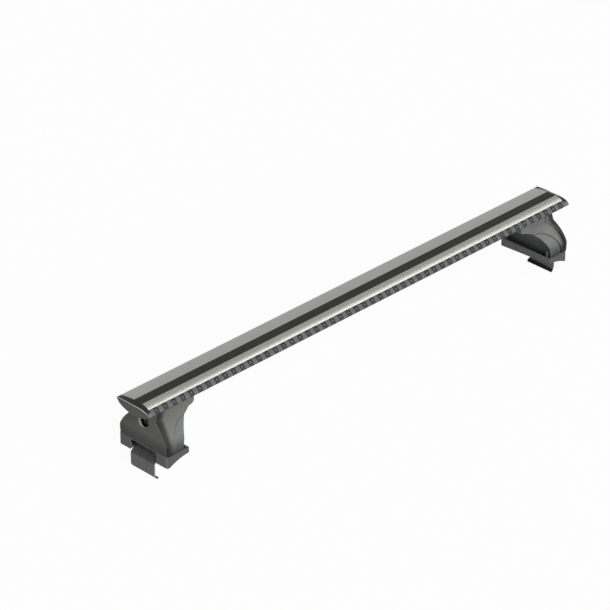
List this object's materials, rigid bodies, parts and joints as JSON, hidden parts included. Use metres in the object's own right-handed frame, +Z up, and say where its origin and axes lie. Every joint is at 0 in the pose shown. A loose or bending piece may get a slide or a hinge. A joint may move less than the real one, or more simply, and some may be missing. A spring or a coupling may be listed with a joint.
{
  "type": "roof rack crossbar",
  "caption": "Aerofoil aluminium roof rack crossbar with a rubber strip along its slot, moulded feet and hooked steel clamp brackets.",
  "frame": {"origin": "on the floor under the middle of the bar, where the hook lips stand", "axes": "+X along the bar, +Y to the rear edge of the aerofoil, +Z up"},
  "size_m": [1.1004, 0.1244, 0.1574],
  "materials": {
    "bar_aluminium": "satin anodised",
    "strip_rubber": "matt ribbed",
    "nose_plastic": "moulded with a notched pattern",
    "cap_plastic": "fine grain",
    "cover_plastic": "fine grain",
    "body_plastic": "smooth moulded",
    "tray_plastic": "fine grain",
    "coated_steel": "powder coated",
    "hook_rubber": "matt",
    "plated_steel": "zinc plated"
  },
  "bodies": {
    "bar": {"crossbar": "bar_aluminium", "slot_strip": "strip_rubber", "nose_strip": "nose_plastic", "end_cap_left": "cap_plastic", "end_cap_right": "cap_plastic"},
    "foot_left": {"foot_cover_left": "cover_plastic", "foot_body_left": "body_plastic", "base_tray_left": "tray_plastic", "tray_studs_left": "plated_steel", "pivot_pin_left": "plated_steel", "slot_plate_left": "plated_steel", "bar_bolts_left": "plated_steel", "screw_washer_left": "plated_steel"},
    "bracket_left": {"clamp_bracket_left": "coated_steel", "hook_pad_left": "hook_rubber"},
    "screw_left": {"clamp_screw_left": "plated_steel"},
    "nut_left": {"barrel_nut_left": "plated_steel"},
    "foot_right": {"foot_cover_right": "cover_plastic", "foot_body_right": "body_plastic", "base_tray_right": "tray_plastic", "tray_studs_right": "plated_steel", "pivot_pin_right": "plated_steel", "slot_plate_right": "plated_steel", "bar_bolts_right": "plated_steel", "screw_washer_right": "plated_steel"},
    "bracket_right": {"clamp_bracket_right": "coated_steel", "hook_pad_right": "hook_rubber"},
    "screw_right": {"clamp_screw_right": "plated_steel"},
    "nut_right": {"barrel_nut_right": "plated_steel"}
  },
  "joints": [
    {"name": "foot_left_slide", "type": "slide", "parent": "bar", "child": "foot_left", "axis": [1, 0, 0], "range_m": [0, 0.1]},
    {"name": "bracket_left_swing", "type": "hinge", "parent": "foot_left", "child": "bracket_left", "pos_m": [-0.4979, 0, 0.0686], "axis": [0, -1, 0], "range_deg": [-4, 5]},
    {"name": "screw_left_turn", "type": "hinge", "parent": "foot_left", "child": "screw_left", "pos_m": [-0.513, 0, 0.105], "axis": [1, 0, 0], "range_deg": [-920, 1150]},
    {"name": "nut_left_slide", "type": "slide", "parent": "foot_left", "child": "nut_left", "axis": [-1, 0, 0], "range_m": [-0.0026, 0.0032]},
    {"name": "foot_right_slide", "type": "slide", "parent": "bar", "child": "foot_right", "axis": [-1, 0, 0], "range_m": [0, 0.1]},
    {"name": "bracket_right_swing", "type": "hinge", "parent": "foot_right", "child": "bracket_right", "pos_m": [0.4979, 0, 0.0686], "axis": [0, 1, 0], "range_deg": [-4, 5]},
    {"name": "screw_right_turn", "type": "hinge", "parent": "foot_right", "child": "screw_right", "pos_m": [0.513, 0, 0.105], "axis": [-1, 0, 0], "range_deg": [-920, 1150]},
    {"name": "nut_right_slide", "type": "slide", "parent": "foot_right", "child": "nut_right", "axis": [1, 0, 0], "range_m": [-0.0026, 0.0032]}
  ],
  "couplings": [
    {"joint": "screw_left_turn", "follows": "bracket_left_swing", "ratio": 228.71},
    {"joint": "nut_left_slide", "follows": "bracket_left_swing", "m_per_rad": 0.0364},
    {"joint": "screw_right_turn", "follows": "bracket_right_swing", "ratio": 228.71},
    {"joint": "nut_right_slide", "follows": "bracket_right_swing", "m_per_rad": 0.0364}
  ]
}
